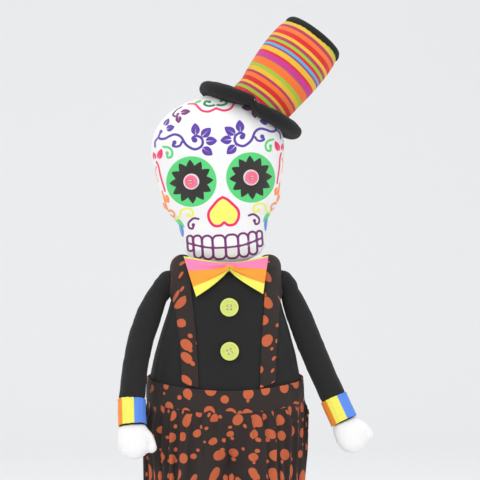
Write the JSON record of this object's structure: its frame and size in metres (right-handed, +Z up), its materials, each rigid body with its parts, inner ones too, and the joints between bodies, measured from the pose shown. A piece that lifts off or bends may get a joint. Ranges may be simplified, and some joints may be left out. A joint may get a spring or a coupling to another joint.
{
  "type": "stuffed sugar-skull doll",
  "caption": "Standing stuffed cloth doll with a printed skull head, tilted top hat, bow tie, braces and gathered trousers; head nods and turns, arms swing and lift.",
  "frame": {"origin": "on the floor, under the middle of the bounding box", "axes": "+Z up, the doll faces -Y, +X is the doll's left"},
  "size_m": [0.304, 0.1463, 0.8162],
  "materials": {
    "printed_plush": "brushed short plush, printed in flat colours",
    "white_plush": "brushed short plush",
    "stuffing": "loose polyester wadding",
    "eye_button": "gloss",
    "shirt_button": "gloss",
    "thread": "twisted thread",
    "black_thread": "twisted thread",
    "black_felt": "matt felt",
    "striped_cloth": "woven, striped in many colours",
    "black_cloth": "brushed knit",
    "tie_cloth": "satin weave, in pink, orange and yellow",
    "cuff_cloth": "satin weave, in orange, yellow and blue",
    "dotted_cloth": "woven, printed with rust dots",
    "elastic": "covered elastic cord",
    "dowel": "plain turned",
    "sand_bag": "plain cloth bag of sand",
    "sole_board": "fine grain"
  },
  "bodies": {
    "torso": {"torso_cover": "black_cloth", "torso_filling": "stuffing", "shirt_button_upper": "shirt_button", "shirt_button_lower": "shirt_button", "shirt_button_threads": "thread", "bow_tie": "tie_cloth", "bow_tie_thread": "thread", "brace_right": "dotted_cloth", "brace_left": "dotted_cloth", "waistband": "dotted_cloth", "trousers": "dotted_cloth", "hem_elastic_right": "elastic", "hem_elastic_left": "elastic", "leg_cover_right": "white_plush", "leg_cover_left": "white_plush", "leg_filling_right": "stuffing", "leg_filling_left": "stuffing", "leg_rod_right": "dowel", "leg_rod_left": "dowel", "boot_upper_right": "black_felt", "boot_upper_left": "black_felt", "boot_filling_right": "stuffing", "boot_filling_left": "stuffing", "boot_weight_right": "sand_bag", "boot_weight_left": "sand_bag", "boot_sole_right": "sole_board", "boot_sole_left": "sole_board"},
    "neck": {"neck_cover": "white_plush", "neck_filling": "stuffing"},
    "head": {"head_cover": "printed_plush", "head_filling": "stuffing", "eye_button_right": "eye_button", "eye_button_left": "eye_button", "eye_button_threads": "thread", "hat_brim": "black_felt", "hat_brim_filling": "stuffing", "hat_crown": "striped_cloth", "hat_top": "black_felt", "hat_filling": "stuffing"},
    "shoulder_right": {"shoulder_seam_right": "black_thread"},
    "shoulder_left": {"shoulder_seam_left": "black_thread"},
    "arm_right": {"sleeve_right": "black_cloth", "arm_filling_right": "stuffing", "cuff_right": "cuff_cloth", "hand_cover_right": "white_plush", "hand_filling_right": "stuffing"},
    "arm_left": {"sleeve_left": "black_cloth", "arm_filling_left": "stuffing", "cuff_left": "cuff_cloth", "hand_cover_left": "white_plush", "hand_filling_left": "stuffing"}
  },
  "joints": [
    {"name": "head_nod", "type": "hinge", "parent": "torso", "child": "neck", "pos_m": [-0.0212, 0, 0.522], "axis": [1, 0, 0], "range_deg": [-12, 1]},
    {"name": "head_turn", "type": "hinge", "parent": "neck", "child": "head", "pos_m": [-0.0212, 0, 0.522], "axis": [-0.0698, 0, 0.9976], "range_deg": [-5, 5]},
    {"name": "arm_swing_right", "type": "hinge", "parent": "torso", "child": "shoulder_right", "pos_m": [-0.09367, 0, 0.496], "axis": [-1, 0, 0], "range_deg": [-2, 125]},
    {"name": "arm_lift_right", "type": "hinge", "parent": "shoulder_right", "child": "arm_right", "pos_m": [-0.09367, 0, 0.496], "axis": [0, 1, 0], "range_deg": [0, 80]},
    {"name": "arm_swing_left", "type": "hinge", "parent": "torso", "child": "shoulder_left", "pos_m": [0.05127, 0, 0.496], "axis": [-1, 0, 0], "range_deg": [-50, 125]},
    {"name": "arm_lift_left", "type": "hinge", "parent": "shoulder_left", "child": "arm_left", "pos_m": [0.05127, 0, 0.496], "axis": [0, -1, 0], "range_deg": [0, 80]}
  ]
}
